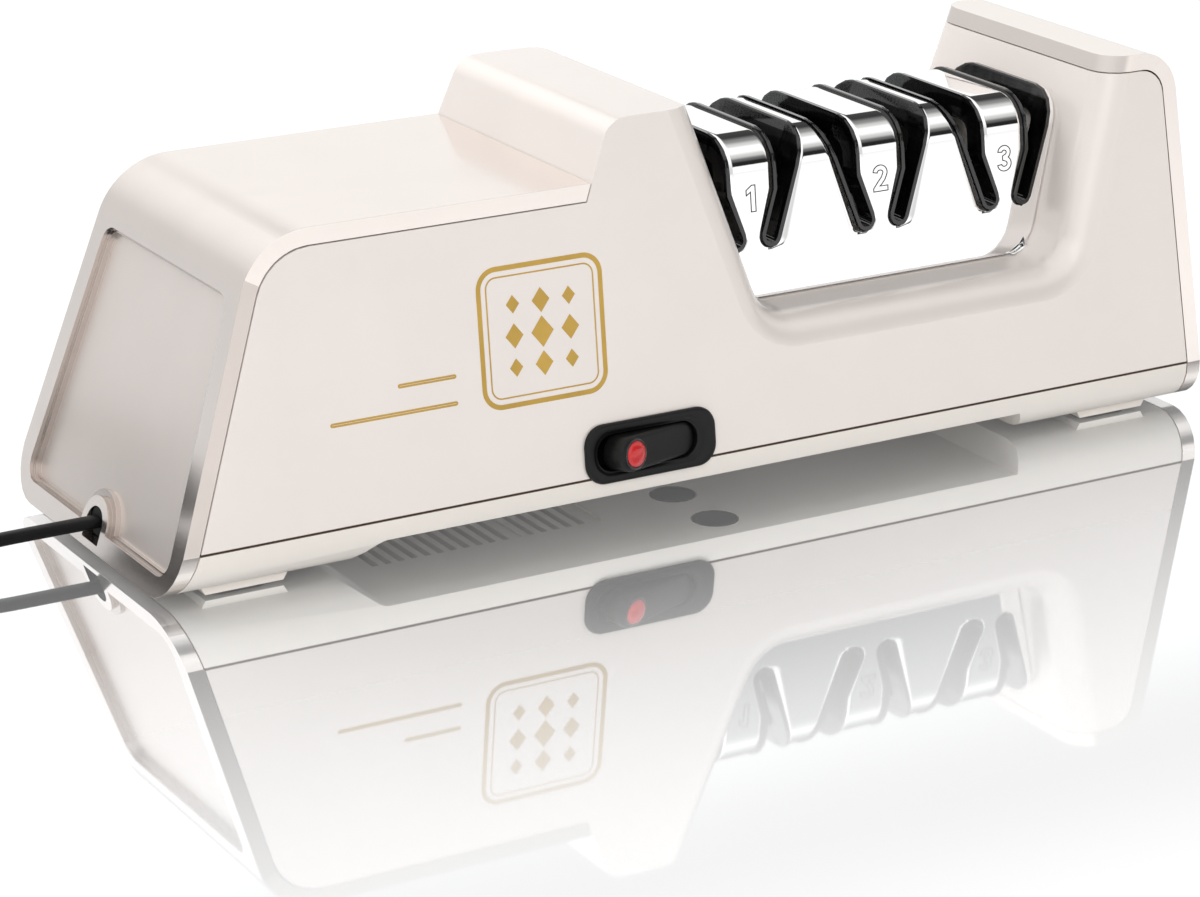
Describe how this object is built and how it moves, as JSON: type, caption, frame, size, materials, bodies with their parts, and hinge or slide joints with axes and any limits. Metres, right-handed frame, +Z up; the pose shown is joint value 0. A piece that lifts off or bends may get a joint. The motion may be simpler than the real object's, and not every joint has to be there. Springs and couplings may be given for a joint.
{
  "type": "electric knife sharpener",
  "caption": "Bench-top electric knife sharpener: a long leaning body with a wrap-over cover, a saddle of slotted bright guides, a rocker switch and a coiled flat cord.",
  "frame": {"origin": "on the surface, under the middle of the body with its switch, cord left out", "axes": "+X along the body away from the motor end, +Y towards the back, +Z up"},
  "size_m": [0.3716, 0.1205, 0.0942],
  "materials": {
    "champagne_shell": "pearly satin metallic",
    "pearl_shell": "pearl off-white, soft gloss",
    "pearl_base": "pearl beige, soft gloss",
    "bright_sheet": "mirror",
    "gloss_black": "high gloss",
    "satin_black": "satin",
    "red_lens": "clear red",
    "black_rubber": "matt",
    "cord_black": "smooth satin",
    "bright_steel": "ground",
    "zinc_steel": "zinc plated",
    "brass": "bright",
    "nylon": "natural",
    "abrasive": "fine diamond grit",
    "board_green": "laminate",
    "capacitor_blue": "dipped"
  },
  "bodies": {
    "housing": {"motor_cover": "champagne_shell", "end_cover": "champagne_shell", "main_housing": "pearl_shell", "base_pan": "pearl_base", "guide_cover": "bright_sheet", "guide_insert": "gloss_black", "bridge_rectifier": "gloss_black", "foot_pad_motor_end_front": "black_rubber", "foot_pad_motor_end_back": "black_rubber", "foot_pad_far_end_front": "black_rubber", "foot_pad_far_end_back": "black_rubber", "screw_plug_front": "black_rubber", "screw_plug_middle": "black_rubber", "cord_grommet": "black_rubber", "switch_bezel": "satin_black", "switch_body": "nylon", "motor_end_bell": "nylon", "switch_terminal_live": "brass", "switch_terminal_load": "brass", "bearing_motor_end": "brass", "bearing_far_end": "brass", "plug_blade_left": "brass", "plug_blade_right": "brass", "motor_can": "zinc_steel", "motor_clamp": "zinc_steel", "bracket_motor_end": "zinc_steel", "bracket_far_end": "zinc_steel", "circuit_board": "board_green", "capacitor": "capacitor_blue", "cord_run": "cord_black", "cord_coil": "cord_black", "cord_tail": "cord_black", "plug_body": "cord_black"},
    "rocker": {"switch_rocker": "satin_black", "switch_lens": "red_lens"},
    "spindle_set": {"motor_shaft": "bright_steel", "cooling_fan": "nylon", "shaft_coupling": "nylon", "spindle": "bright_steel", "ring_stage_1_left": "bright_steel", "ring_stage_1_right": "bright_steel", "ring_stage_2_left": "bright_steel", "ring_stage_2_right": "bright_steel", "ring_stage_3_left": "bright_steel", "ring_stage_3_right": "bright_steel", "spring_stage_1_left": "bright_steel", "spring_stage_1_right": "bright_steel", "spring_stage_2_left": "bright_steel", "spring_stage_2_right": "bright_steel", "spring_stage_3_left": "bright_steel", "spring_stage_3_right": "bright_steel"},
    "wheel_1_left": {"wheel_stage_1_left": "abrasive"},
    "wheel_1_right": {"wheel_stage_1_right": "abrasive"},
    "wheel_2_left": {"wheel_stage_2_left": "abrasive"},
    "wheel_2_right": {"wheel_stage_2_right": "abrasive"},
    "wheel_3_left": {"wheel_stage_3_left": "abrasive"},
    "wheel_3_right": {"wheel_stage_3_right": "abrasive"}
  },
  "joints": [
    {"name": "rocker_press", "type": "hinge", "parent": "housing", "child": "rocker", "pos_m": [-0.02086, -0.03969, 0.01827], "axis": [0, 0.1191, 0.9929], "range_deg": [-35, 0]},
    {"name": "spindle_spin", "type": "hinge", "parent": "housing", "child": "spindle_set", "pos_m": [0.00144, 0.00316, 0.035], "axis": [1, 0, 0], "continuous": true},
    {"name": "wheel_1_left_slide", "type": "slide", "parent": "spindle_set", "child": "wheel_1_left", "axis": [1, 0, 0], "range_m": [0, 0.001], "stiffness_N_per_m": 1500, "springref_m": -0.001, "deforming": ["spring_stage_1_left"]},
    {"name": "wheel_1_right_slide", "type": "slide", "parent": "spindle_set", "child": "wheel_1_right", "axis": [-1, 0, 0], "range_m": [0, 0.001], "stiffness_N_per_m": 1500, "springref_m": -0.001, "deforming": ["spring_stage_1_right"]},
    {"name": "wheel_2_left_slide", "type": "slide", "parent": "spindle_set", "child": "wheel_2_left", "axis": [1, 0, 0], "range_m": [0, 0.001], "stiffness_N_per_m": 1500, "springref_m": -0.001, "deforming": ["spring_stage_2_left"]},
    {"name": "wheel_2_right_slide", "type": "slide", "parent": "spindle_set", "child": "wheel_2_right", "axis": [-1, 0, 0], "range_m": [0, 0.001], "stiffness_N_per_m": 1500, "springref_m": -0.001, "deforming": ["spring_stage_2_right"]},
    {"name": "wheel_3_left_slide", "type": "slide", "parent": "spindle_set", "child": "wheel_3_left", "axis": [1, 0, 0], "range_m": [0, 0.001], "stiffness_N_per_m": 1500, "springref_m": -0.001, "deforming": ["spring_stage_3_left"]},
    {"name": "wheel_3_right_slide", "type": "slide", "parent": "spindle_set", "child": "wheel_3_right", "axis": [-1, 0, 0], "range_m": [0, 0.001], "stiffness_N_per_m": 1500, "springref_m": -0.001, "deforming": ["spring_stage_3_right"]}
  ]
}
